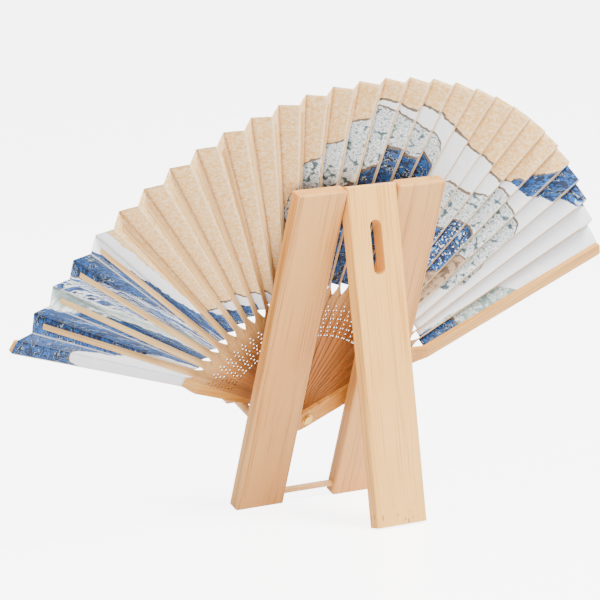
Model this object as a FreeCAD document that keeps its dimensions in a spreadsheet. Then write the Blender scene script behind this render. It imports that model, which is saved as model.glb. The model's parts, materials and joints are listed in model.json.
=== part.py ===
"""A folding hand fan resting open on its own folding wooden stand.

Row frame: +X runs along the stand's hinge, +Y points to the side where the fan rests,
+Z is up, and the origin is on the table at the middle of the object's outline.
The plank frame of each plank starts on the hinge axis: x along the hinge, y up the plank.
The fan frame starts on the rivet: x to the right, y up the fan, z out of its back, and
z = 0 is the face of the right guard that the leaf is glued to.
"""
import FreeCAD
import Part
import math
import os

import Sketcher
from FreeCAD import Vector

# Driving dimensions in millimetres and degrees.
DIMENSIONS = (
    # where the row frame's origin lies, from the point on the table under the hinge's middle
    ("centre_x", -6.32),
    ("centre_y", 34.3),
    # stand
    ("plank_length", 193.0),
    ("plank_thickness", 8.0),
    ("side_width", 30.0),
    ("leg_width", 31.0),
    ("plank_gap", 0.5),
    ("edge_round", 1.2),
    ("hinge_inset", 5.0),
    ("plank_lean", 23.7),
    ("leg_lean", 5.9),
    ("dowel_radius", 1.8),
    ("dowel_end_gap", 0.2),
    ("glue_gap", 0.03),
    ("running_gap", 0.06),
    ("bottom_dowel_rise", 5.5),
    ("slot_width", 7.0),
    ("slot_length", 29.0),
    ("slot_inset", 18.5),
    # pegs that the fan rests on
    ("peg_radius", 2.5),
    ("peg_inset", 9.1),
    ("peg_drop", 138.1),
    ("peg_reach", 25.2),
    ("block_width", 12.0),
    ("block_height", 12.0),
    ("block_depth", 8.0),
    ("block_below", 2.9),
    ("block_bevel", 0.6),
    # where the fan stands
    ("pivot_drop", 141.8),
    ("pivot_side", -4.8),
    ("pivot_depth", 8.5),
    ("fan_turn", 6.7),
    ("fan_extra_lean", 1.9),
    # fan
    ("fan_radius", 203.0),
    ("leaf_inner", 80.0),
    ("leaf_thickness", 0.12),
    ("leaf_glue", 0.03),
    ("pleat_depth", 6.0),
    ("fold_pitch", 4.72),
    ("guard_angle", 25.09),
    ("stick_count", 28),
    ("stick_spacing", 0.5),
    ("stick_thickness", 0.32),
    ("first_stick_drop", 0.36),
    ("last_stick_gap", 0.32),
    ("guard_thickness", 2.4),
    ("guard_bow", 3.2),
    ("leaf_edge", 3.4),
    ("pierced_first", 48.0),
    ("pierced_step", 2.6),
    ("pierced_rows", 8),
    ("pierced_radius", 0.75),
    ("pierced_offset", 0.2),
    # rivet
    ("rivet_radius", 1.5),
    ("rivet_gap", 0.05),
    ("washer_radius", 3.2),
    ("washer_thickness", 0.6),
    ("washer_gap", 0.05),
    ("head_radius", 2.4),
    ("head_height", 0.8),
)

# Outlines along the radius: (radius, half of the width, share of the stick's tilt or the guard's bow).
STICK_OUTLINE = (
    (-8.0, 2.2, 0), (-7.0, 3.3, 0), (-5.0, 4.1, 0), (0.0, 4.4, 0), (40.0, 4.6, 0), (67.0, 4.8, 0),
    (71.0, 4.4, 0), (73.5, 3.6, 0.2), (75.5, 2.9, 0.45), (77.5, 2.4, 0.75), (80.0, 2.05, 1),
    (90.0, 1.85, 1), (196.0, 1.4, 1),
)
GUARD_OUTLINE = (
    (-9.0, 2.8, 0), (-8.0, 4.0, 0), (-5.5, 4.9, 0), (-2.0, 5.2, 0), (71.0, 5.2, 0), (73.5, 4.9, 0.2),
    (75.5, 4.5, 0.45), (77.5, 4.1, 0.75), (80.0, 3.8, 1), (201.5, 3.6, 1), (203.0, 3.0, 1),
)

doc = FreeCAD.newDocument("FoldingFan")
sheet = doc.addObject("Spreadsheet::Sheet", "Dimensions")
for row, (alias, number) in enumerate(DIMENSIONS, 1):
    sheet.set(f"A{row}", alias)
    sheet.set(f"B{row}", str(number))
    sheet.setAlias(f"B{row}", alias)
doc.recompute()


def size(alias):
    """A driving dimension as a number, for the shapes that are made point by point."""
    return float(getattr(sheet, alias))


def bound(formula):
    """A formula of aliases as an expression of the sheet's cells."""
    for alias, _ in DIMENSIONS:
        formula = formula.replace(f"[{alias}]", f"Dimensions.{alias}")
    return formula


def place(piece, x="0", y="0", z="0", turn="0; 0; 0", base=""):
    """Binds a piece's Placement: a move, a yaw; pitch; roll turn, and the frame it is given in."""
    before = f"{base}.Placement * " if base else ""
    spot = f"create(<<vector>>; {bound(x)}; {bound(y)}; {bound(z)})"
    way = f"create(<<rotation>>; {bound(turn)})"
    piece.setExpression("Placement", f"{before}create(<<placement>>; {spot}; {way})")


# ---------------------------------------------------------------- named lengths

HINGE_HEIGHT = (
    "(([plank_length] - [hinge_inset]) * cos([plank_lean]) + [plank_thickness] / 2 * sin([plank_lean]))"
)
LEG_DROP = f"(({HINGE_HEIGHT} - [plank_thickness] / 2 * sin([leg_lean])) / cos([leg_lean]))"
SIDE_DROP = "([plank_length] - [hinge_inset])"
BOTTOM_DOWEL_DROP = f"({SIDE_DROP} - [bottom_dowel_rise])"
SIDE_CENTRE = "([leg_width] / 2 + [plank_gap] + [side_width] / 2)"
STACK_DEPTH = "([first_stick_drop] + ([stick_count] - 1) * [stick_spacing] + [last_stick_gap])"


# ---------------------------------------------------------------- sketch helpers

def new_body(name):
    body = doc.addObject("PartDesign::Body", name)
    body.Label = name
    return body


def sketch_on(body, role, name):
    sketch = body.newObject("Sketcher::SketchObject", name)
    plane = next(f for f in body.Origin.OriginFeatures if f.Role == role)
    sketch.AttachmentSupport = (plane, [""])
    sketch.MapMode = "FlatFace"
    return sketch


def constrain(sketch, name, formula, *constraint):
    """Adds a dimension to a sketch and binds it to the sheet."""
    index = sketch.addConstraint(Sketcher.Constraint(*constraint))
    sketch.renameConstraint(index, name)
    sketch.setExpression(f"Constraints.{name}", bound(formula))


def rectangle(sketch, width, top, bottom):
    """A rectangle across the vertical axis, from bottom below the origin to top above it."""
    corners = [Vector(-10, -50, 0), Vector(10, -50, 0), Vector(10, 5, 0), Vector(-10, 5, 0)]
    for i in range(4):
        sketch.addGeometry(Part.LineSegment(corners[i], corners[(i + 1) % 4]))
    for i in range(4):
        sketch.addConstraint(Sketcher.Constraint("Coincident", i, 2, (i + 1) % 4, 1))
    for i, way in ((0, "Horizontal"), (1, "Vertical"), (3, "Vertical")):
        sketch.addConstraint(Sketcher.Constraint(way, i))
    sketch.addConstraint(Sketcher.Constraint("Symmetric", 2, 1, 2, 2, -2))
    constrain(sketch, "across", width, "DistanceX", 0, 1, 0, 2, 20.0)
    constrain(sketch, "top_end", top, "DistanceY", -1, 1, 2, 1, 5.0)
    constrain(sketch, "bottom_end", bottom, "DistanceY", 0, 1, -1, 1, 50.0)


def circle(sketch, radius, left=None, below=None):
    """A circle at the origin, or that far to the left of it or below it."""
    sketch.addGeometry(Part.Circle(Vector(-5, -5, 0), Vector(0, 0, 1), 1.0))
    constrain(sketch, "round", radius, "Radius", 0, 1.0)
    if left is None:
        sketch.addConstraint(Sketcher.Constraint("PointOnObject", 0, 3, -2))
    else:
        constrain(sketch, "left_of", left, "DistanceX", 0, 3, -1, 1, 5.0)
    if below is None:
        sketch.addConstraint(Sketcher.Constraint("PointOnObject", 0, 3, -1))
    else:
        constrain(sketch, "under", below, "DistanceY", 0, 3, -1, 1, 5.0)


def slot(sketch, width, top, bottom):
    """A round-ended slot on the vertical axis, between two depths below the origin."""
    sketch.addGeometry(Part.ArcOfCircle(Part.Circle(Vector(0, -10, 0), Vector(0, 0, 1), 3), 0, math.pi))
    sketch.addGeometry(Part.LineSegment(Vector(-3, -10, 0), Vector(-3, -20, 0)))
    sketch.addGeometry(
        Part.ArcOfCircle(Part.Circle(Vector(0, -20, 0), Vector(0, 0, 1), 3), math.pi, 2 * math.pi)
    )
    sketch.addGeometry(Part.LineSegment(Vector(3, -20, 0), Vector(3, -10, 0)))
    for i in range(4):
        sketch.addConstraint(Sketcher.Constraint("Tangent", i, 2, (i + 1) % 4, 1))
    sketch.addConstraint(Sketcher.Constraint("Vertical", 1))
    sketch.addConstraint(Sketcher.Constraint("Equal", 0, 2))
    sketch.addConstraint(Sketcher.Constraint("PointOnObject", 0, 3, -2))
    constrain(sketch, "round", f"{width} / 2", "Radius", 0, 3.0)
    constrain(sketch, "upper", f"{top} + {width} / 2", "DistanceY", 0, 3, -1, 1, 10.0)
    constrain(sketch, "lower", f"{bottom} - {width} / 2", "DistanceY", 2, 3, -1, 1, 20.0)


def feature(body, kind, name, sketch, **settings):
    """A pad or pocket of a sketch."""
    made = body.newObject(f"PartDesign::{kind}", name)
    made.Profile = sketch
    for key, value in settings.items():
        setattr(made, key, value)
    return made


def round_edges(body, pad, name):
    """Rounds every edge of a plank but those of its foot, which stands on the table."""
    doc.recompute()
    foot = pad.Shape.BoundBox.YMin
    chosen = [
        f"Edge{i}"
        for i, edge in enumerate(pad.Shape.Edges, 1)
        if any(v.Point.y > foot + 1 for v in edge.Vertexes)
    ]
    rounded = body.newObject("PartDesign::Fillet", name)
    rounded.Base = (pad, chosen)
    rounded.setExpression("Radius", bound("[edge_round]"))
    return rounded


def plank(name, width, drop):
    """A plank hanging from the hinge axis in its own frame."""
    body = new_body(name)
    outline = sketch_on(body, "XY_Plane", f"{name}_outline")
    rectangle(outline, width, "[hinge_inset]", drop)
    pad = feature(body, "Pad", f"{name}_pad", outline, Midplane=True)
    pad.setExpression("Length", bound("[plank_thickness]"))
    round_edges(body, pad, f"{name}_rounded")
    return body


def cross_hole(body, name, radius, drop, **settings):
    """A hole along the hinge's direction, that far down the plank."""
    profile = sketch_on(body, "YZ_Plane", f"{name}_profile")
    circle(profile, radius, left=drop)
    return feature(body, "Pocket", name, profile, Type="ThroughAll", **settings)


# ---------------------------------------------------------------- stand

def side_plank(side, sign):
    """One of the two side planks, with blind holes for both dowels and for its peg."""
    name = f"side_plank_{side}"
    body = plank(name, "[side_width]", SIDE_DROP)
    inwards = sign < 0
    cross_hole(body, f"{name}_hinge_hole", "[dowel_radius] + [glue_gap]", None, Reversed=inwards)
    cross_hole(
        body, f"{name}_bottom_hole", "[dowel_radius] + [glue_gap]", BOTTOM_DOWEL_DROP, Reversed=inwards
    )
    profile = sketch_on(body, "XY_Plane", f"{name}_peg_profile")
    circle(
        profile,
        "[peg_radius] + [glue_gap]",
        left="[side_width] / 2 - [peg_inset]",
        below="[peg_drop]",
    )
    feature(body, "Pocket", f"{name}_peg_hole", profile, Type="ThroughAll")
    place(
        body,
        f"{sign} * {SIDE_CENTRE} - [centre_x]",
        "-[centre_y]",
        HINGE_HEIGHT,
        "0; 0; 90 + [plank_lean]",
    )
    return body


def leg_plank():
    """The middle plank, which swings out as the third leg and has a slot near its top."""
    body = plank("leg_plank", "[leg_width]", LEG_DROP)
    cross_hole(
        body, "leg_hinge_hole", "[dowel_radius] + [running_gap]", None, Midplane=True
    )
    profile = sketch_on(body, "XY_Plane", "leg_slot_profile")
    top = "([slot_inset] - [hinge_inset])"
    slot(profile, "[slot_width]", top, f"{top} + [slot_length]")
    feature(body, "Pocket", "leg_slot", profile, Type="ThroughAll", Midplane=True)
    place(body, "-[centre_x]", "-[centre_y]", HINGE_HEIGHT, "0; 0; 90 - [leg_lean]")
    return body


def dowel(name, drop):
    """A dowel across all three planks, that far below the hinge axis along the side planks."""
    half = f"({SIDE_CENTRE} - [dowel_end_gap])"
    rod = doc.addObject("Part::Cylinder", name)
    rod.Label = name
    rod.setExpression("Radius", bound("[dowel_radius]"))
    rod.setExpression("Height", bound(f"2 * {half}"))
    place(
        rod,
        f"-{half} - [centre_x]",
        f"{drop} * sin([plank_lean]) - [centre_y]",
        f"{HINGE_HEIGHT} - {drop} * cos([plank_lean])",
        "0; 90; 0",
    )
    return rod


def peg(side):
    """A round peg that stands square out of a side plank and carries the fan."""
    rod = doc.addObject("Part::Cylinder", f"peg_{side}")
    rod.Label = f"peg_{side}"
    rod.setExpression("Radius", bound("[peg_radius]"))
    rod.setExpression(
        "Height", bound("[plank_thickness] / 2 + [peg_reach] + [block_depth] / 2 - 2 * [dowel_end_gap]")
    )
    place(
        rod,
        "[peg_inset] - [side_width] / 2",
        "-[peg_drop]",
        "-[dowel_end_gap]",
        "0; 0; 180",
        f"side_plank_{side}",
    )
    return rod


def peg_block(side):
    """The block on a peg's end, which keeps the fan from sliding off."""
    blank = doc.addObject("Part::Box", f"peg_block_{side}_blank")
    blank.setExpression("Length", bound("[block_width]"))
    blank.setExpression("Width", bound("[block_height]"))
    blank.setExpression("Height", bound("[block_depth]"))
    place(blank, "-[block_width] / 2", "-[block_below]", "-[block_depth]")
    doc.recompute()
    bevelled = doc.addObject("Part::Chamfer", f"peg_block_{side}_bevelled")
    bevelled.Base = blank
    bevel = size("block_bevel")
    bevelled.Edges = [(i, bevel, bevel) for i in range(1, len(blank.Shape.Edges) + 1)]
    hole = doc.addObject("Part::Cylinder", f"peg_block_{side}_hole")
    hole.setExpression("Radius", bound("[peg_radius] + [glue_gap]"))
    hole.setExpression("Height", bound("[block_depth] / 2"))
    place(hole, z="-[block_depth] / 2")
    block = doc.addObject("Part::Cut", f"peg_block_{side}")
    block.Label = f"peg_block_{side}"
    block.Base = bevelled
    block.Tool = hole
    place(
        block,
        "[peg_inset] - [side_width] / 2",
        "-[peg_drop]",
        "-[plank_thickness] / 2 - [peg_reach]",
        "0; 0; 0",
        f"side_plank_{side}",
    )
    return block


# ---------------------------------------------------------------- flat-faced solids

def solid_of(faces):
    """A solid closed by flat faces, each a list of its corners."""
    wires = [Part.makePolygon([*corners, corners[0]]) for corners in faces]
    shell = Part.Shell([Part.Face(wire) for wire in wires])
    solid = Part.Solid(shell)
    if solid.Volume < 0:
        solid.reverse()
    return solid


def halves(corners):
    """The two triangles of a quadrangle that isn't flat."""
    a, b, c, d = corners
    return [[a, b, c], [a, c, d]]


def pleat_slope():
    """Rise of a pleat's panel for each unit across it."""
    half_span = size("fan_radius") * math.sin(math.radians(size("fold_pitch") / 4))
    return size("pleat_depth") / 2 / half_span


def bar(outline, low, high, tilt=0, bow=0):
    """A flat bar along x whose upper part is twisted by a tilt or stands off by a bow."""
    rings = []
    for radius, half, share in outline:
        across = Vector(0, math.cos(tilt * share), math.sin(tilt * share))
        normal = Vector(0, -math.sin(tilt * share), math.cos(tilt * share))
        middle = Vector(radius, 0, bow * share)
        rings.append(
            [
                middle - across * half + normal * low,
                middle + across * half + normal * low,
                middle + across * half + normal * high,
                middle - across * half + normal * high,
            ]
        )
    faces = [rings[0][::-1], rings[-1]]
    for (near, far), (start, stop) in zip(zip(rings, rings[1:]), zip(outline, outline[1:])):
        for i in range(4):
            side = [near[i], near[(i + 1) % 4], far[(i + 1) % 4], far[i]]
            faces += [side] if start[2] == stop[2] else halves(side)
    return solid_of(faces)


def shaped(name, shape):
    """A document object that holds a shape made point by point."""
    piece = doc.addObject("Part::Feature", name)
    piece.Shape = shape
    return piece


def cylinder(name, radius, height, z="0"):
    rod = doc.addObject("Part::Cylinder", name)
    rod.setExpression("Radius", bound(radius))
    rod.setExpression("Height", bound(height))
    place(rod, z=z)
    return rod


def cut(name, base, tool):
    piece = doc.addObject("Part::Cut", name)
    piece.Base = base
    piece.Tool = tool
    return piece


# ---------------------------------------------------------------- fan

def rivet():
    """The rivet: its shank and two heads. Its Placement is the fan's frame."""
    front = "([guard_thickness] + 2 * [washer_gap] + [washer_thickness])"
    back = f"({STACK_DEPTH} + {front})"
    shank = cylinder("rivet_shank", "[rivet_radius]", f"{front} + {back}", f"-{back}")
    head_front = cylinder("rivet_head_front", "[head_radius]", "[head_height]", front)
    head_back = cylinder("rivet_head_back", "[head_radius]", "[head_height]", f"-{back} - [head_height]")
    whole = doc.addObject("Part::MultiFuse", "rivet")
    whole.Label = "rivet"
    whole.Shapes = [shank, head_front, head_back]
    place(
        whole,
        "[pivot_side] - [centre_x]",
        "[pivot_drop] * sin([plank_lean]) + [pivot_depth] * cos([plank_lean]) - [centre_y]",
        f"{HINGE_HEIGHT} - [pivot_drop] * cos([plank_lean]) + [pivot_depth] * sin([plank_lean])",
        "[fan_turn]; 0; 90 + [plank_lean] + [fan_extra_lean]",
    )
    return whole


def washer(end, z):
    """A washer under one of the rivet's heads."""
    disc = cylinder(f"washer_{end}_disc", "[washer_radius]", "[washer_thickness]")
    hole = cylinder(f"washer_{end}_hole", "[rivet_radius] + [rivet_gap]", "[washer_thickness]")
    ring = cut(f"washer_{end}", disc, hole)
    ring.Label = f"washer_{end}"
    place(ring, z=z, base="rivet")
    return ring


def guard(side, below, z, angle):
    """A thick outer stick at a height of the fan, reaching below it by a share of its thickness.

    Beside the leaf it bows away from the inner sticks, to leave room for the folded cloth.
    """
    thickness = size("guard_thickness")
    bow = (1 - 2 * below) * size("guard_bow")
    blank = shaped(
        f"guard_{side}_blank", bar(GUARD_OUTLINE, -below * thickness, (1 - below) * thickness, bow=bow)
    )
    hole = cylinder(
        f"guard_{side}_hole",
        "[rivet_radius] + [rivet_gap]",
        "[guard_thickness]",
        f"-{below} * [guard_thickness]",
    )
    whole = cut(f"guard_{side}", blank, hole)
    whole.Label = f"guard_{side}"
    place(whole, z=z, turn=f"{angle}; 0; 0", base="rivet")
    return whole


def piercings():
    """The prisms that pierce a stick's blade, and the rod that drills it for the rivet.

    Each hole is half a pitch to one side, and has a twin half a pitch to the other side, so that the
    holes of neighbouring sticks meet when the fan is open.
    """
    tools = [cylinder("stick_rivet_hole", "[rivet_radius] + [rivet_gap]", "2", "-1")]
    for row in range(int(size("pierced_rows"))):
        radius = f"([pierced_first] + {row} * [pierced_step])"
        shifts = ("-[pierced_offset]", "[pierced_offset]") if row % 2 == 0 else ("0",)
        for number, (half, shift) in enumerate((h, s) for h in ("-0.5", "0.5") for s in shifts):
            prism = doc.addObject("Part::Prism", f"piercing_{row}_{number}")
            prism.Polygon = 6
            prism.setExpression("Circumradius", bound("[pierced_radius]"))
            prism.Height = 2
            angle = f"(({half} + {shift}) * [fold_pitch])"
            place(prism, f"{radius} * cos({angle})", f"{radius} * sin({angle})", "-1")
            tools.append(prism)
    whole = doc.addObject("Part::Compound", "stick_piercings")
    whole.Links = tools
    return whole


def pierced_stick():
    """One inner stick at the fan frame's origin: all of them are alike."""
    half = size("stick_thickness") / 2
    blank = shaped("stick_blank", bar(STICK_OUTLINE, -half, half, tilt=math.atan(pleat_slope())))
    return cut("stick_pattern", blank, piercings())


def stick(number, pattern):
    """An inner stick, turned to its angle and set back to its place in the stack."""
    piece = doc.addObject("Part::Compound", f"stick_{number:02d}")
    piece.Label = f"stick_{number:02d}"
    piece.Links = [pattern]
    drop = f"-[first_stick_drop] - {number - 1} * [stick_spacing]"
    place(piece, z=drop, turn=f"[guard_angle] + {number} * [fold_pitch]; 0; 0", base="rivet")
    return piece


def leaf():
    """The pleated leaf: a panel behind each stick, in front of the left guard, and between each two.

    The panels on the sticks are tilted, and those on the two guards lie flat.
    """
    tilt = pleat_slope()
    half = size("leaf_thickness") / 2 * math.hypot(1, tilt)
    glue = size("leaf_glue") * math.hypot(1, tilt)
    behind_stick = size("stick_thickness") / 2 * math.hypot(1, tilt) + glue + half
    bow = size("guard_bow")
    radii = (size("leaf_inner"), size("fan_radius"))
    count = int(size("stick_count"))
    depth = size("first_stick_drop") + (count - 1) * size("stick_spacing") + size("last_stick_gap")
    heights = [bow - glue - half]
    heights += [
        -size("first_stick_drop") - i * size("stick_spacing") - behind_stick for i in range(count)
    ]
    heights += [-depth - bow + glue + half]
    slopes = [0, *[tilt] * count, 0]
    quarter = math.radians(size("fold_pitch") / 4)

    def point(panel, radius, across, lift):
        """A point of a panel, given by how far across the panel it lies."""
        turn = math.radians(size("guard_angle") + panel * size("fold_pitch"))
        along = math.sqrt(radius**2 - across**2)
        return Vector(
            along * math.cos(turn) - across * math.sin(turn),
            along * math.sin(turn) + across * math.cos(turn),
            heights[panel] + across * slopes[panel] + lift,
        )

    def crease(panel, side):
        """Corners of one fold line: inner low, inner high, outer low, outer high."""
        free = (panel == 0 and side < 0) or (panel == count + 1 and side > 0)
        corners = []
        for radius in radii:
            across = side * (size("leaf_edge") if free else radius * math.sin(quarter))
            corners += [point(panel, radius, across, -half), point(panel, radius, across, half)]
        return corners

    creases = [crease(panel, side) for panel in range(count + 2) for side in (-1, 1)]
    first, last = creases[0], creases[-1]
    faces = [[first[0], first[1], first[3], first[2]], [last[0], last[2], last[3], last[1]]]
    for number, (right, left) in enumerate(zip(creases, creases[1:])):
        low = [right[0], right[2], left[2], left[0]]
        high = [right[1], left[1], left[3], right[3]]
        ends = [[right[0], left[0], left[1], right[1]], [right[2], right[3], left[3], left[2]]]
        glued = number % 2 == 0
        faces += ends + ([low, high] if glued else halves(low) + halves(high))
    return solid_of(faces)


def pleated_leaf():
    piece = shaped("leaf", leaf())
    piece.Label = "leaf"
    place(piece, base="rivet")
    return piece


# ---------------------------------------------------------------- all of it

planks = [side_plank("left", -1), side_plank("right", 1), leg_plank()]
dowels = [dowel("hinge_dowel", "0"), dowel("bottom_dowel", BOTTOM_DOWEL_DROP)]
pegs = [peg(side) for side in ("left", "right")]
blocks = [peg_block(side) for side in ("left", "right")]
fan_rivet = rivet()
washers = [
    washer("front", "[guard_thickness] + [washer_gap]"),
    washer("back", f"-{STACK_DEPTH} - [guard_thickness] - [washer_gap] - [washer_thickness]"),
]
guards = [
    guard("right", 0, "0", "[guard_angle]"),
    guard("left", 1, f"-{STACK_DEPTH}", "[guard_angle] + ([stick_count] + 1) * [fold_pitch]"),
]
pattern = pierced_stick()
sticks = [stick(number, pattern) for number in range(1, int(size("stick_count")) + 1)]
parts = [*planks, *dowels, *pegs, *blocks, fan_rivet, *washers, *guards, *sticks, pleated_leaf()]

doc.recompute()
for piece in doc.Objects:
    if "Invalid" in piece.State or "Error" in piece.State:
        raise RuntimeError(f"{piece.Name} failed: {piece.State}")
for piece in parts:
    shape = piece.Shape
    if shape.isNull() or not shape.isValid() or len(shape.Solids) != 1:
        raise RuntimeError(f"{piece.Label} isn't one valid solid")

os.makedirs("parts", exist_ok=True)
for piece in parts:
    piece.Shape.exportStep(f"parts/{piece.Label}.step")
whole = Part.makeCompound([piece.Shape for piece in parts]).BoundBox
print(f"{len(parts)} parts, {whole.XLength:.1f} x {whole.YLength:.1f} x {whole.ZLength:.1f} mm")
print(f"middle of the outline {whole.Center.x:.2f}, {whole.Center.y:.2f}, lowest {whole.ZMin:.3f}")
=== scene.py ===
# %% [markdown]
# # An open folding fan on its wooden stand
# The object is a pleated silk fan with bamboo sticks. It leans, open, on a small stand of three
# bamboo planks. The rigid parts are already modelled and arrive as a frame that must not move.
# Here they get their finishes, and the leaf, which is cloth, gets its pleats and its print.
# Everything is in metres. X runs along the stand's hinge, Y towards the fan, and Z is up.

# %% Load the frame
import bmesh
import bpy
import json
import math
from mathutils import Matrix, Vector, noise


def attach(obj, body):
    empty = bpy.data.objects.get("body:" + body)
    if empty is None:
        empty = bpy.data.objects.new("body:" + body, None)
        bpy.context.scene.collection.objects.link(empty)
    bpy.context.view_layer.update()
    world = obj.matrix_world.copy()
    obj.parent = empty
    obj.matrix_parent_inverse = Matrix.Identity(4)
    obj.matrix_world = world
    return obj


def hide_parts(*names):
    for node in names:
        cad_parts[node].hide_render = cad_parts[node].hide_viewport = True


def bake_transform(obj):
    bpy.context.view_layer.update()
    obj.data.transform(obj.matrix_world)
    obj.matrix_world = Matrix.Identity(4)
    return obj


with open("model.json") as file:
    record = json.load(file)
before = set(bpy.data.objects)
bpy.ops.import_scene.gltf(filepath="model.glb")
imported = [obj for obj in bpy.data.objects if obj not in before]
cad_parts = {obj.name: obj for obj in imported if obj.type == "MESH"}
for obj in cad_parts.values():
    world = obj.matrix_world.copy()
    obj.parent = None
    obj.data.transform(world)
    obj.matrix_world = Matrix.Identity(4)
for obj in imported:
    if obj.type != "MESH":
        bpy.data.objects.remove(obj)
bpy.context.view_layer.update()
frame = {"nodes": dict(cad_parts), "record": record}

MM = 0.001

# %% [markdown]
# ## The camera
# It stands on the side of the stand's legs and well to the left, looks slightly down, and leans a
# little. A long lens from 1.7 m away keeps the planks' edges nearly parallel.

# %% Camera
AIM = Vector((-38.2, -34.3, 122.5)) * MM
DISTANCE = 1674.9 * MM
HEADING = math.radians(31.52)
LOOK_DOWN = math.radians(8.2)
ROLL = math.radians(-2.22)
FILM_WIDTH, LENS = 36, 194.1  # millimetres

forward = Vector((
    math.sin(HEADING) * math.cos(LOOK_DOWN),
    math.cos(HEADING) * math.cos(LOOK_DOWN),
    -math.sin(LOOK_DOWN),
))
level = Vector((math.cos(HEADING), -math.sin(HEADING), 0))
up = level.cross(forward)
right = math.cos(ROLL) * level + math.sin(ROLL) * up
up = right.cross(forward)

camera = bpy.data.objects.new("camera", bpy.data.cameras.new("camera"))
camera.data.sensor_width = FILM_WIDTH
camera.data.lens = LENS
turn = Matrix((right, up, -forward)).transposed().to_4x4()
camera.matrix_world = Matrix.Translation(AIM - DISTANCE * forward) @ turn
bpy.context.scene.collection.objects.link(camera)
bpy.context.scene.camera = camera
print("camera", round(DISTANCE, 2), "m away, lens", LENS)

# %% [markdown]
# ## The fan's own directions
# The fan leans and is turned a little, so it has its own axes. They start on the rivet. The hinge
# that closes the fan gives them: its axis is square to the fan, and the fan's sideways direction is
# the level one in the fan's plane.

# %% The fan's axes
closing = next(j for j in frame["record"]["behaviour"]["joints"] if j["name"] == "fan_fold")
rivet_spot = Vector(closing["pos_m"])
out_of_fan = -Vector(closing["axis"]).normalized()
sideways = Vector((0, 0, 1)).cross(out_of_fan).normalized()
up_the_fan = out_of_fan.cross(sideways)
to_row = Matrix((sideways, up_the_fan, out_of_fan)).transposed().to_4x4()
to_row.translation = rivet_spot
from_row = to_row.inverted()
print("the fan leans", round(math.degrees(math.asin(abs(out_of_fan.z))), 1), "degrees")

# %% [markdown]
# ## Helpers for the finishes
# Colours are written as a painter would look them up, as sRGB hex, and the renderer wants linear
# light, so one function turns one into the other. A second one adds a node: its settings are given
# by name, and its inputs by number or name, either as a value or as another node's output.

# %% Colour and node helpers
def shade(hexadecimal):
    """An sRGB hex colour as linear red, green, blue and alpha."""
    parts = [int(hexadecimal[i:i + 2], 16) / 255 for i in (1, 3, 5)]
    return [c / 12.92 if c <= 0.04045 else ((c + 0.055) / 1.055) ** 2.4 for c in parts] + [1]


def add(tree, kind, inputs=(), **settings):
    """Adds a node. inputs maps a socket's number or name to a value or to another node's output."""
    node = tree.nodes.new("ShaderNode" + kind)
    for key, value in settings.items():
        setattr(node, key, value)
    for key, value in dict(inputs).items():
        if isinstance(value, bpy.types.NodeSocket):
            tree.links.new(value, node.inputs[key])
        else:
            node.inputs[key].default_value = value
    return node


def ramp(node, stops, interpolation="LINEAR"):
    """Gives a colour ramp its stops: (place, hex colour)."""
    band = node.color_ramp
    band.interpolation = interpolation
    while len(band.elements) < len(stops):
        band.elements.new(0.5)
    for element, (place, tint) in zip(band.elements, stops):
        element.position = place
        element.color = shade(tint)


def new_material(name):
    """An empty material, its node tree and its output node."""
    material = bpy.data.materials.new(name)
    material.use_nodes = True
    tree = material.node_tree
    tree.nodes.clear()
    return material, tree, tree.nodes.new("ShaderNodeOutputMaterial")


def dress(names, material):
    """Gives rigid parts a material."""
    for name in names:
        for held in frame["nodes"][name].material_slots:
            held.material = material


print("helpers ready")

# %% [markdown]
# ## Laminated bamboo
# The planks are laminated bamboo, planed, sanded and left with a thin satin lacquer. Bamboo has no
# rings. It shows straight fibres a few tenths of a millimetre wide that run the whole length, in
# strips about 7 mm wide of slightly different tone, with faint warm patches. Fibres that fine don't
# show, so they are drawn 0.8 mm wide. Each plank leans, so a Mapping node turns the pattern until
# its Z runs up that plank.

# %% Bamboo plank material
FIBRE, PATCH, END_DOT, FLECK = 0.8 * MM, 60 * MM, 0.9 * MM, 2.2 * MM


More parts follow.
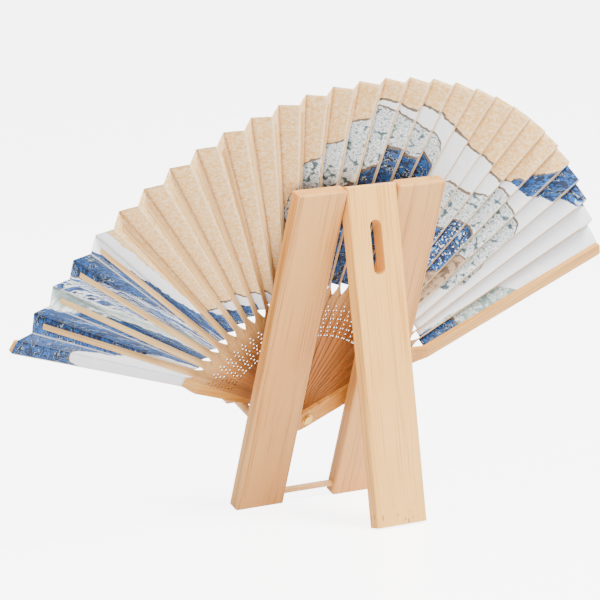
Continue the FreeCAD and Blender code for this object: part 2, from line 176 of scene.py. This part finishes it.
def bamboo(name, lean, pale, dark, strip_mm=7.0, foot_marks=False):
    """Satin bamboo whose fibres run up a plank that leans by an angle about X."""
    material, tree, output = new_material(name)
    spot = add(tree, "TexCoord").outputs["Object"]
    along = add(tree, "Mapping", {0: spot, "Rotation": (lean, 0, 0)}).outputs[0]
    fibres = add(tree, "Mapping", {0: along, "Scale": (1, 1, 0.012)}).outputs[0]
    fine = add(tree, "TexNoise", {0: fibres, "Scale": 1 / FIBRE, "Detail": 4, "Roughness": 0.6})
    coarse = add(tree, "TexNoise", {0: fibres, "Scale": 1 / (strip_mm * MM), "Detail": 2})
    cloudy = add(tree, "TexNoise", {0: along, "Scale": 1 / PATCH, "Detail": 1})
    tone = add(tree, "Math", {0: fine.outputs[0], 1: 0.6, 2: 0.0}, operation="MULTIPLY_ADD")
    tone = add(tree, "Math", {0: coarse.outputs[0], 1: 0.4, 2: tone.outputs[0]},
               operation="MULTIPLY_ADD")
    tint = add(tree, "ValToRGB", {0: tone.outputs[0]})
    ramp(tint, [(0.36, dark), (0.49, pale), (0.62, pale), (0.7, dark)])
    warm = add(tree, "ValToRGB", {0: cloudy.outputs[0]})
    ramp(warm, [(0.35, "#fff3e2"), (0.65, "#ffffff")])
    colour = add(tree, "Mix", {0: 1.0, 6: tint.outputs[0], 7: warm.outputs[0]},
                 data_type="RGBA", blend_type="MULTIPLY").outputs[2]

    # cut ends show the fibres end on, as fine darker dots
    facing = add(tree, "NewGeometry").outputs["Normal"]
    grain_way = (0, -math.sin(lean), math.cos(lean))
    end_on = add(tree, "VectorMath", {0: facing, 1: grain_way}, operation="DOT_PRODUCT")
    end_on = add(tree, "Math", {0: end_on.outputs[1]}, operation="ABSOLUTE")
    end_on = add(tree, "Math", {0: end_on.outputs[0], 1: 0.8}, operation="GREATER_THAN")
    dots = add(tree, "TexVoronoi", {0: along, "Scale": 1 / END_DOT})
    end_tint = add(tree, "ValToRGB", {0: dots.outputs[0]})
    ramp(end_tint, [(0.1, "#b07a3f"), (0.35, "#dea763")])
    colour = add(tree, "Mix", {0: end_on.outputs[0], 6: colour, 7: end_tint.outputs[0]},
                 data_type="RGBA").outputs[2]

    if foot_marks:
        # short brown flecks where the foot stands on the table
        height = add(tree, "SeparateXYZ", {0: spot}).outputs[2]
        low = add(tree, "MapRange", {0: height, 1: 8 * MM, 2: 14 * MM, 3: 1, 4: 0})
        flecks = add(tree, "Mapping", {0: along, "Scale": (1, 1, 0.35)}).outputs[0]
        specks = add(tree, "TexVoronoi", {0: flecks, "Scale": 1 / FLECK, "Randomness": 1})
        speck = add(tree, "Math", {0: specks.outputs[0], 1: 0.24}, operation="LESS_THAN")
        speck = add(tree, "Math", {0: speck.outputs[0], 1: low.outputs[0]}, operation="MULTIPLY")
        speck = add(tree, "Math", {0: speck.outputs[0], 1: 0.8}, operation="MULTIPLY")
        colour = add(tree, "Mix", {0: speck.outputs[0], 6: colour, 7: shade("#9a6a38")},
                     data_type="RGBA").outputs[2]

    gloss = add(tree, "MapRange", {0: fine.outputs[0], 3: 0.42, 4: 0.58})
    relief = add(tree, "Bump", {"Height": fine.outputs[0], "Strength": 0.12, "Distance": 0.15 * MM})
    surface = add(tree, "BsdfPrincipled", {
        "Base Color": colour, "Roughness": gloss.outputs[0], "IOR": 1.5,
        "Normal": relief.outputs[0], "Coat Weight": 0.12, "Coat Roughness": 0.3,
    })
    tree.links.new(surface.outputs[0], output.inputs[0])
    return material


SIDE_LEAN = math.radians(23.7)
LEG_LEAN = math.radians(5.9)
# the side planks and the leg are one bamboo: the sides' darker copy is painted shade, the leg's
# paler copy painted light
side_bamboo_painted_shade = bamboo("satin_laminated_bamboo_sides_painted_shade", -SIDE_LEAN, "#dda257", "#ac7128")
leg_bamboo_painted_light = bamboo("satin_laminated_bamboo_leg_painted_light", LEG_LEAN, "#f0b962", "#c78836", foot_marks=True)
block_bamboo = bamboo("satin_bamboo_block", -SIDE_LEAN, "#dfb077", "#bd8748", strip_mm=4)
dowel_birch = bamboo("turned_birch_dowel", math.radians(90), "#e2bd87", "#c99b62", strip_mm=2)
dress(("side_plank_left", "side_plank_right"), side_bamboo_painted_shade)
dress(("leg_plank",), leg_bamboo_painted_light)
dress(("peg_block_left", "peg_block_right", "peg_left", "peg_right"), block_bamboo)
dress(("hinge_dowel", "bottom_dowel"), dowel_birch)
print("stand finished in bamboo and birch")

# %% [markdown]
# ## Split bamboo sticks
# The sticks are split from the cane's outer wall, sanded thin and stained a warm orange tan. Their
# fibres run along each stick, so away from the rivet. The pattern is therefore laid out in rings
# and rays round the rivet: it changes fast across the ray's angle and slowly along its length. The
# blades near the rivet are painted browner than the thin ribs beside the leaf, as painted shade.

# %% Stick and guard materials
RIB_STARTS, RIB_FULL = 55 * MM, 90 * MM


def rayed_bamboo(name, shaded_blade, rib, fibre_mm, shine):
    """Bamboo with fibres out from the rivet; colour pairs are (pale, dark), the blades' darker as
    painted shade.
    """
    material, tree, output = new_material(name)
    spot = add(tree, "TexCoord").outputs["Object"]
    moved = add(tree, "VectorMath", {0: spot, 1: rivet_spot}, operation="SUBTRACT").outputs[0]
    across = [
        add(tree, "VectorMath", {0: moved, 1: way}, operation="DOT_PRODUCT").outputs[1]
        for way in (sideways, up_the_fan, out_of_fan)
    ]
    ray = add(tree, "Math", {0: across[1], 1: across[0]}, operation="ARCTAN2").outputs[0]
    flat = add(tree, "CombineXYZ", {0: across[0], 1: across[1]}).outputs[0]
    reach = add(tree, "VectorMath", {0: flat}, operation="LENGTH").outputs[1]
    # at 100 mm from the rivet, one radian is 100 mm across
    rays = add(tree, "Math", {0: ray, 1: 100 * MM}, operation="MULTIPLY").outputs[0]
    slow = add(tree, "Math", {0: reach, 1: 0.02}, operation="MULTIPLY").outputs[0]
    layer = add(tree, "CombineXYZ", {0: rays, 1: slow, 2: across[2]}).outputs[0]
    fibre = add(tree, "TexNoise", {0: layer, "Scale": 1 / (fibre_mm * MM), "Detail": 3})
    blotch = add(tree, "TexNoise", {0: layer, "Scale": 1 / (9 * MM), "Detail": 1})
    tone = add(tree, "Math", {0: fibre.outputs[0], 1: 0.5, 2: 0.0}, operation="MULTIPLY_ADD")
    tone = add(tree, "Math", {0: blotch.outputs[0], 1: 0.5, 2: tone.outputs[0]},
               operation="MULTIPLY_ADD")
    tint = add(tree, "ValToRGB", {0: tone.outputs[0]})
    # the blades' darker colours near the rivet are painted shade
    ramp(tint, [(0.35, shaded_blade[1]), (0.6, shaded_blade[0])])
    rib_tint = add(tree, "ValToRGB", {0: tone.outputs[0]})
    ramp(rib_tint, [(0.35, rib[1]), (0.6, rib[0])])
    # the painted shade on the blades fades out between RIB_STARTS and RIB_FULL from the rivet
    out_of_painted_shade = add(tree, "MapRange", {0: reach, 1: RIB_STARTS, 2: RIB_FULL}).outputs[0]
    tint = add(tree, "Mix", {0: out_of_painted_shade, 6: tint.outputs[0], 7: rib_tint.outputs[0]},
               data_type="RGBA").outputs[2]
    relief = add(tree, "Bump", {"Height": fibre.outputs[0], "Strength": 0.15, "Distance": 0.1 * MM})
    gloss = add(tree, "MapRange", {0: fibre.outputs[0], 3: shine, 4: shine + 0.15})
    surface = add(tree, "BsdfPrincipled", {
        "Base Color": tint, "Roughness": gloss.outputs[0], "IOR": 1.5,
        "Normal": relief.outputs[0],
    })
    tree.links.new(surface.outputs[0], output.inputs[0])
    return material


# the first colour pair, for the blades, is darker as painted shade; on the guards only a little
stick_bamboo = rayed_bamboo(
    "sanded_split_bamboo_sticks", ("#c17f3e", "#84501d"), ("#efc582", "#c28e4e"), 0.7, 0.5)
guard_bamboo = rayed_bamboo(
    "polished_bamboo_guards", ("#e5a548", "#ba7524"), ("#e8ad58", "#c0802f"), 0.9, 0.36)
dress([name for name in frame["nodes"] if name.startswith("stick_")], stick_bamboo)
dress(("guard_left", "guard_right"), guard_bamboo)
print("sticks and guards finished")

# %% [markdown]
# ## The rivet
# A turned brass pin with a washer under each head. Brass that has been handled isn't a mirror: fine
# turning marks run round the pin and the polish is uneven.

# %% Brass material
brass, tree, output = new_material("turned_brass")
spot = add(tree, "TexCoord").outputs["Object"]
marks = add(tree, "TexNoise", {0: spot, "Scale": 1 / (0.4 * MM), "Detail": 3})
gloss = add(tree, "MapRange", {0: marks.outputs[0], 3: 0.22, 4: 0.4})
relief = add(tree, "Bump", {"Height": marks.outputs[0], "Strength": 0.1, "Distance": 0.05 * MM})
surface = add(tree, "BsdfPrincipled", {
    "Base Color": shade("#d8b66a"), "Metallic": 1.0, "Roughness": gloss.outputs[0],
    "Normal": relief.outputs[0],
})
tree.links.new(surface.outputs[0], output.inputs[0])
dress(("rivet", "washer_front", "washer_back"), brass)
print("rivet finished in brass")

# %% [markdown]
# ## How the leaf is folded
# The leaf is one strip of thin silk, folded like a concertina into 59 panels. Thirty of them are
# glued: one to each stick and guard. The other 29 are free and join the glued ones. Sizes are in
# millimetres here, and each fold line is found from the stick's number, the distance from the rivet
# and how far across the panel a point lies.

# %% Measures of the folded leaf
LEAF_INNER, LEAF_OUTER = 80.0, 203.0
LEAF_LENGTH = LEAF_OUTER - LEAF_INNER
FOLD_PITCH = math.radians(4.72)
GUARD_ANGLE = math.radians(25.09)
PLEAT_DEPTH = 6.0
STICKS = 28
SILK = 0.12
GLUE = 0.03
STICK_THICKNESS = 0.32
FIRST_DROP, STICK_SPACING, LAST_GAP = 0.36, 0.5, 0.32
GUARD_BOW = 3.2
LEAF_EDGE = 3.4

TILT = PLEAT_DEPTH / 2 / (LEAF_OUTER * math.sin(FOLD_PITCH / 4))
stretch = math.hypot(1, TILT)
behind_stick = (STICK_THICKNESS / 2 + GLUE + SILK / 2) * stretch
heights = [GUARD_BOW - (GLUE + SILK / 2) * stretch]
heights += [-FIRST_DROP - i * STICK_SPACING - behind_stick for i in range(STICKS)]
heights += [-FIRST_DROP - (STICKS - 1) * STICK_SPACING - LAST_GAP - GUARD_BOW
            + (GLUE + SILK / 2) * stretch]
slopes = [0, *[TILT] * STICKS, 0]
PANELS = 2 * STICKS + 3
print(PANELS, "panels, tilted", round(math.degrees(math.atan(TILT))), "degrees")


def on_panel(stick, reach, share):
    """A point in the fan's axes on a glued panel. share is -1 at its right edge, 1 at its left."""
    quarter = math.sin(FOLD_PITCH / 4)
    free = (stick == 0 and share < 0) or (stick == STICKS + 1 and share > 0)
    across = share * (LEAF_EDGE if free else reach * quarter)
    angle = GUARD_ANGLE + stick * FOLD_PITCH
    along = math.sqrt(reach ** 2 - across ** 2)
    return Vector((
        along * math.cos(angle) - across * math.sin(angle),
        along * math.sin(angle) + across * math.cos(angle),
        heights[stick] + across * slopes[stick],
    ))


# %% [markdown]
# ## One pleat at a time
# A pleat is a glued panel and the free panel on its left. As the fan closes, the glued panel turns
# with its stick and the free panel's other edge turns with the next stick, so each pleat is its own
# piece, and each point's share of the two sticks' turns is worked out. It starts as a flat grid and
# is laid onto the two panels. The silk is slack between the sticks, so the free panel bulges by up
# to about a third of a millimetre, with small creases that run out from the glued edges. The fold
# lines stay crisp.

# %% Pleat helpers
COLUMNS, ROWS = 12, 44
BROAD_SLACK, FINE_SLACK = 0.30, 0.16
ON_FOLD = 0.05


def slack(pleat, share, reach):
    """How far the free panel stands off its flat shape, in millimetres."""
    bulge = math.sin(math.pi * share)
    fine = noise.noise(Vector((pleat * 7.3, share * 1.5, reach / 6)))
    broad = noise.noise(Vector((pleat * 3.1 + 40, share, reach / 35)))
    return bulge * (BROAD_SLACK * broad + FINE_SLACK * fine)


def pleat_spot(pleat, share, reach):
    """Where a point of the flat pleat goes, and its share of the next stick's turn."""
    if share <= 0.5 or pleat == STICKS + 1:
        return on_panel(pleat, reach, 4 * share - 1), pleat / (pleat + 1)
    free = 2 * share - 1
    start, stop = on_panel(pleat, reach, 1), on_panel(pleat + 1, reach, -1)
    spot = start.lerp(stop, free)
    bow = (stop - start).cross(Vector((0, 0, 1)).cross(stop - start)).normalized()
    return spot + bow * slack(pleat, free, reach), (pleat + free) / (pleat + 1)


def make_pleat(pleat):
    """The mesh object of a pleat, with its print coordinates and its turning shares."""
    mesh = bpy.data.meshes.new(f"leaf_pleat_{pleat:02d}")
    bm = bmesh.new()
    last = pleat == STICKS + 1
    bmesh.ops.create_grid(bm, x_segments=COLUMNS // (2 if last else 1), y_segments=ROWS, size=0.5)
    print_place = bm.loops.layers.uv.new("print")
    width = 0.5 if last else 1.0
    flat = {v: ((v.co.x + 0.5) * width, v.co.y + 0.5) for v in bm.verts}
    for face in bm.faces:
        for loop in face.loops:
            share, out = flat[loop.vert]
            loop[print_place].uv = (1 - (2 * pleat + 2 * share) / PANELS, out)
    turns = []
    for v in bm.verts:
        share, out = flat[v]
        spot, turn_share = pleat_spot(pleat, share, LEAF_INNER + out * LEAF_LENGTH)
        v.co = to_row @ (spot * MM)
        turns.append(turn_share)
    bmesh.ops.recalc_face_normals(bm, faces=bm.faces)
    if bm.faces[0].normal.dot(out_of_fan) < 0:
        bmesh.ops.reverse_faces(bm, faces=bm.faces)
    area = sum(face.calc_area() for face in bm.faces)
    bm.to_mesh(mesh)
    bm.free()
    mesh.shade_smooth()
    folds = mesh.attributes.new("sharp_edge", "BOOLEAN", "EDGE")
    for edge in mesh.edges:
        middle = sum((Vector(mesh.vertices[k].co) for k in edge.vertices), Vector()) / 2
        near_ridge = from_row @ middle / MM
        reach = math.hypot(near_ridge.x, near_ridge.y)
        crest = on_panel(pleat, reach, 1)
        folds.data[edge.index].value = (near_ridge - crest).length < ON_FOLD
    piece = bpy.data.objects.new(f"leaf_pleat_{pleat:02d}", mesh)
    bpy.context.scene.collection.objects.link(piece)
    return piece, turns, area


print("pleats have", COLUMNS, "by", ROWS, "faces")

# %% [markdown]
# ## The printed silk
# The silk is plain woven, thin and warm beige, with pale slubs, and a sea is printed on it. The
# print was made on the flat silk before it was folded, so its coordinates count flat panels along
# the strip and run from the inner edge to the rim. It is a generic sea: layers of swell are laid
# over each other like cut paper, each with a crest line drawn as a curve, and what is painted
# inside a layer depends on how far below its crest a point lies.

# %% The print's layers
SKY = "#e0ab5c"
# each colour list runs from 0 to 1 along the pattern that fills the layer
FOAM = [
    (0.0, "#3f5560"), (0.16, "#7f979c"), (0.3, "#eef1f1"), (0.42, "#5d757c"), (0.5, "#f2f4f4"),
    (0.66, "#a9babc"), (0.8, "#43565f"),
]
DEEP = [
    (0.0, "#16233d"), (0.36, "#1f5fa8"), (0.41, "#16233d"), (0.465, "#115aa0"),
    (0.5, "#0e3162"), (0.536, "#b9cfdf"), (0.543, "#0d172c"), (0.59, "#115aa0"),
    (0.66, "#a9c3d6"),
]
SWELL = [
    (0.0, "#223355"), (0.36, "#e9eef1"), (0.44, "#2a64b0"), (0.5, "#1c2d50"), (0.55, "#dfe7ea"),
    (0.6, "#2b66b4"), (0.66, "#24375b"),
]
CALM = [
    (0.0, "#f0f3f3"), (0.4, "#8fa6a2"), (0.48, "#aebdb9"), (0.55, "#e9eeee"), (0.62, "#7f9795"),
]
PALE = [(0.0, "#eef0f4"), (0.6, "#f6f7f8")]
WOOD = [(0.0, "#8b6f52"), (0.45, "#b3977a"), (0.55, "#6d5742")]
# name, what fills it, its colours, how wide its outline is, and its crest from left to right
LAYERS = [
    ("white_field", "strokes", PALE, 0.012, [
        (0, -.2), (.44, -.2), (.468, .62), (.51, .83), (.542, .92), (.566, .87), (.606, .88),
        (.64, .83), (.676, .79), (.71, .75), (.739, .75), (.773, .70), (.803, .74), (.833, .79),
        (.86, .93), (.88, 1.2), (1, 1.2),
    ]),
    ("rim_band", "strokes", DEEP, 0.01, [
        (0, -.2), (.785, -.2), (.803, .75), (.83, .84), (.845, .92), (.865, 1.05), (.93, 1.2),
        (.952, 1.2), (.956, -.2), (1, -.2),
    ]),
    ("band_foot", "strokes", PALE, 0.0, [
        (0, -.2), (.785, -.2), (.80, .73), (.845, .76), (.879, .84), (.907, .92), (.939, 1.02),
        (.96, 1.2), (1, 1.2),
    ]),
    ("far_foam", "curls", FOAM, 0.01, [
        (0, -.2), (.34, -.2), (.36, .1), (.385, .4), (.405, .58), (.441, .70), (.472, .75),
        (.5, .83), (.538, .87), (.564, .83), (.595, .79), (.633, .75), (.655, .6), (.69, .36),
        (.73, .1), (.75, -.2), (1, -.2),
    ]),
    ("far_wave", "strokes", DEEP, 0.012, [
        (0, -.2), (.38, -.2), (.41, .02), (.455, .22), (.495, .50), (.54, .60), (.568, .69),
        (.595, .64), (.629, .66), (.655, .46), (.69, .2), (.73, -.2), (1, -.2),
    ]),
    ("near_foam", "curls", FOAM, 0.01, [
        (0, -.2), (.67, -.2), (.69, .50), (.703, .58), (.733, .57), (.775, .62), (.803, .69),
        (.841, .66), (.869, .66), (.89, .5), (.905, .35), (.918, -.2), (1, -.2),
    ]),
    ("near_wave", "spray", DEEP, 0.012, [
        (0, -.2), (.67, -.2), (.69, .3), (.744, .39), (.778, .46), (.809, .46), (.832, .32),
        (.85, -.2), (1, -.2),
    ]),
    ("sand_bank", "strokes", WOOD, 0.01, [
        (0, -.2), (.785, -.2), (.80, .18), (.82, .26), (.843, .36), (.853, .34), (.862, -.2),
        (1, -.2),
    ]),
    ("low_water", "strokes", PALE, 0.0, [
        (0, -.2), (.835, -.2), (.85, .15), (.88, .22), (.905, .30), (.93, .52), (.95, 1.2),
        (1, 1.2),
    ]),
    ("guard_foam", "curls", CALM, 0.0, [
        (0, -.2), (.932, -.2), (.945, .16), (.955, .36), (.975, .50), (1, .6),
    ]),
    ("guard_pool", "strokes", DEEP, 0.01, [
        (0, -.2), (.935, -.2), (.947, .09), (.97, .2), (1, .2),
    ]),
    ("left_field", "strokes", PALE, 0.012, [
        (0, 1.2), (.15, 1.2), (.163, .95), (.172, .38), (.182, .2), (.21, .19), (.25, .17),
        (.29, .12), (.33, .07), (.37, -.2), (1, -.2),
    ]),
    ("left_crest", "strokes", DEEP, 0.0, [
        (0, 1.2), (.125, 1.2), (.138, 1.0), (.152, .58), (.17, .25), (.2, .15), (.24, .1),
        (.29, .05), (.31, -.2), (1, -.2),
    ]),
    ("left_roll", "strokes", SWELL, 0.012, [
        (0, 1.2), (.096, 1.2), (.106, .98), (.122, .66), (.138, .34), (.16, .12), (.18, -.2),
        (1, -.2),
    ]),
    ("left_calm", "strokes", CALM, 0.008, [
        (0, 1.2), (.076, 1.1), (.09, .8), (.106, .45), (.122, .16), (.136, -.2), (1, -.2),
    ]),
    ("left_hollow", "strokes", DEEP, 0.0, [
        (0, 1.05), (.046, 1.1), (.066, .92), (.082, .6), (.098, .3), (.112, -.2), (1, -.2),
    ]),
    ("left_low", "strokes", PALE, 0.01, [
        (0, .62), (.018, .70), (.032, .52), (.046, .34), (.06, .16), (.07, -.2), (1, -.2),
    ]),
]
LIFT, SQUEEZE = 0.25, 1.5
print(len(LAYERS), "layers of print")

# %% Printed silk material
silk, tree, output = new_material("printed_woven_silk")
place = add(tree, "UVMap", uv_map="print").outputs[0]
flat_place = add(tree, "SeparateXYZ", {0: place})
# the flat strip is about three and a half times as long as it is wide
even = add(tree, "VectorMath", {0: place, 1: (3.5, 1, 1)}, operation="MULTIPLY").outputs[0]
drift = add(tree, "TexNoise", {0: even, "Scale": 11, "Detail": 4, "Roughness": 0.6})
drift = add(tree, "VectorMath", {0: drift.outputs[1], 1: (0.5, 0.5, 0.5)},
            operation="SUBTRACT").outputs[0]
drift = add(tree, "VectorMath", {0: drift, 1: (0.012, 0.06, 0)}, operation="MULTIPLY").outputs[0]
painted = add(tree, "VectorMath", {0: place, 1: drift}).outputs[0]
strokes = add(tree, "SeparateXYZ", {0: painted})
swirl = add(tree, "TexNoise", {0: even, "Scale": 30, "Detail": 2})
swirl = add(tree, "VectorMath", {0: swirl.outputs[1], 1: (0.04, 0.04, 0), 2: even},
            operation="MULTIPLY_ADD").outputs[0]
curl = add(tree, "TexVoronoi", {0: swirl, "Scale": 46, "Randomness": 0.9})
spray = add(tree, "TexVoronoi", {0: even, "Scale": 75})
spray = add(tree, "Math", {0: spray.outputs[0], 1: 0.26}, operation="LESS_THAN").outputs[0]

slub = add(tree, "TexNoise", {0: even, "Scale": 80, "Detail": 4, "Distortion": 1.2}).outputs[0]
sky = add(tree, "ValToRGB", {0: slub})
ramp(sky, [(0.4, SKY), (0.68, "#f3d9ae")])
colour = sky.outputs[0]
for number, (name, fill, tints, outline, crest_points) in enumerate(LAYERS):
    crest = add(tree, "FloatCurve", {1: strokes.outputs[0]}, label=name)
    line = crest.mapping.curves[0]
    # heights are kept between 0 and 1 by squeezing them, because the curve stops there
    spots = [(x, (y + LIFT) / SQUEEZE) for x, y in crest_points]
    line.points[0].location, line.points[1].location = spots[0], spots[-1]
    for x, y in spots[1:-1]:
        line.points.new(x, y)
    crest.mapping.update()
    lifted = add(tree, "Math", {0: crest.outputs[0], 1: SQUEEZE, 2: -LIFT},
                 operation="MULTIPLY_ADD").outputs[0]
    depth = add(tree, "Math", {0: lifted, 1: strokes.outputs[1]}, operation="SUBTRACT").outputs[0]
    inside = add(tree, "Math", {0: depth, 1: 0.0}, operation="GREATER_THAN").outputs[0]
    if fill == "curls":
        pattern = curl.outputs[0]
    else:
        # brush strokes that run beside the crest: they change slowly along it and fast below it
        below = add(tree, "CombineXYZ", {0: flat_place.outputs[0], 1: depth, 2: float(number)})
        below = below.outputs[0]
        below = add(tree, "Mapping", {0: below, "Scale": (22, 9, 1)}).outputs[0]
        pattern = add(tree, "TexNoise", {0: below, "Scale": 1.6, "Detail": 5, "Roughness": 0.6})
        pattern = pattern.outputs[0]
    tint = add(tree, "ValToRGB", {0: pattern})
    ramp(tint, tints, "LINEAR" if fill == "curls" else "CONSTANT")
    painted_layer = tint.outputs[0]
    if fill == "spray":
        painted_layer = add(tree, "Mix", {0: spray, 6: painted_layer, 7: shade("#f3f6f8")},
                            data_type="RGBA").outputs[2]
    if outline:
        drawn = add(tree, "Math", {0: depth, 1: outline}, operation="LESS_THAN").outputs[0]
        painted_layer = add(tree, "Mix", {0: drawn, 6: painted_layer, 7: shade("#6b5a4a")},
                            data_type="RGBA").outputs[2]
    colour = add(tree, "Mix", {0: inside, 6: colour, 7: painted_layer}, data_type="RGBA").outputs[2]

# the fold lines are painted a little paler, as a painted highlight
panel = add(tree, "Math", {0: flat_place.outputs[0], 1: float(PANELS)},
            operation="MULTIPLY").outputs[0]
panel = add(tree, "Math", {0: panel, 1: 1.0}, operation="PINGPONG").outputs[0]
fold_highlight = add(tree, "MapRange", {0: panel, 1: 0.0, 2: 0.07, 3: 0.5, 4: 0.0}).outputs[0]
colour = add(tree, "Mix", {0: fold_highlight, 6: colour, 7: shade("#f6e6cf")}, data_type="RGBA").outputs[2]

crinkle = add(tree, "TexNoise", {0: even, "Scale": 40, "Detail": 6, "Distortion": 0.6})
relief = add(tree, "Bump", {"Height": crinkle.outputs[0], "Strength": 0.35, "Distance": 0.4 * MM})
surface = add(tree, "BsdfPrincipled", {
    "Base Color": colour, "Roughness": 0.72, "Sheen Weight": 0.15, "Sheen Roughness": 0.4,
    "Normal": relief.outputs[0],
})
tree.links.new(surface.outputs[0], output.inputs[0])
print("silk has", len(tree.nodes), "nodes")

# %% [markdown]
# ## Put the leaf on the sticks
# Each pleat is made with its own mesh, whose area is worked out, and takes the place of the rigid
# leaf, which is hidden. Its turning shares say how much of the next stick's turn each point takes:
# a glued panel turns with its own stick, and the free panel goes evenly from one stick's turn to
# the next's. The shares are worked out but not kept, and only the last pleat is attached, to the
# left guard.

# %% Make the pleats
# a sheet is declared at least 10 mm wide, but the last pleat's cut is only 7.6 mm wide
for pleat in range(STICKS + 2):
    piece, turns, area = make_pleat(pleat)
    piece.data.materials.append(silk)
    thick = piece.modifiers.new("silk thickness", "SOLIDIFY")
    thick.thickness = SILK * MM
    thick.offset = 0
    if pleat <= STICKS:
        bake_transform(piece)
    else:
        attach(piece, "left_guard")
    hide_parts("leaf")
print(STICKS + 2, "pleats, the last", round(area * 1e4, 2), "square centimetres")

# %% [markdown]
# ## Floor and light
# A glossy white table top that glows faintly and fades into a white room, one large soft light
# above and in front, and a weaker one at the left, so that the planks' long faces are evenly lit
# and their narrow edges fall into a warm half shade.

# %% Floor
GLOW_SEEN, GLOW_CAST = 5.2, 0.1
HALF_TABLE = 6
BELOW_FEET = 0.2 * MM
table_top, tree, output = new_material("glossy_white_table")
surface = add(tree, "BsdfPrincipled",
              {"Base Color": shade("#fbfbfb"), "Roughness": 0.2, "IOR": 1.45})
# the lamps under a light table show to the camera more than they light the fan
seen = add(tree, "LightPath").outputs["Is Camera Ray"]
glow = add(tree, "Math", {0: seen, 1: GLOW_SEEN, 2: GLOW_CAST}, operation="MULTIPLY_ADD").outputs[0]
lamps = add(tree, "Emission", {0: shade("#ffffff"), 1: glow})
both = add(tree, "AddShader", {0: surface.outputs[0], 1: lamps.outputs[0]})
tree.links.new(both.outputs[0], output.inputs[0])
mesh = bpy.data.meshes.new("table_top")
bm = bmesh.new()
bmesh.ops.create_grid(bm, x_segments=1, y_segments=1, size=HALF_TABLE)
bm.to_mesh(mesh)
bm.free()
mesh.materials.append(table_top)
floor = bpy.data.objects.new("table_top", mesh)
floor.location.z = -BELOW_FEET
bpy.context.scene.collection.objects.link(floor)
print("floor made")

# %% Lights
world = bpy.data.worlds.new("white_room")
world.use_nodes = True
sky_light = world.node_tree.nodes["Background"]
sky_light.inputs[0].default_value = (1, 1, 1, 1)
sky_light.inputs[1].default_value = 0.85
bpy.context.scene.world = world
for name, spot, power, size in (
    ("key", (0.45, -1.15, 2.0), 150, 0.9),
    ("fill", (-1.6, -0.5, 1.1), 14, 1.0),
):
    lamp = bpy.data.lights.new(name, "AREA")
    lamp.energy = power
    lamp.size = size
    light = bpy.data.objects.new(name, lamp)
    light.location = spot
    light.rotation_euler = (AIM - Vector(spot)).to_track_quat("-Z", "Y").to_euler()
    bpy.context.scene.collection.objects.link(light)
print("lights made")
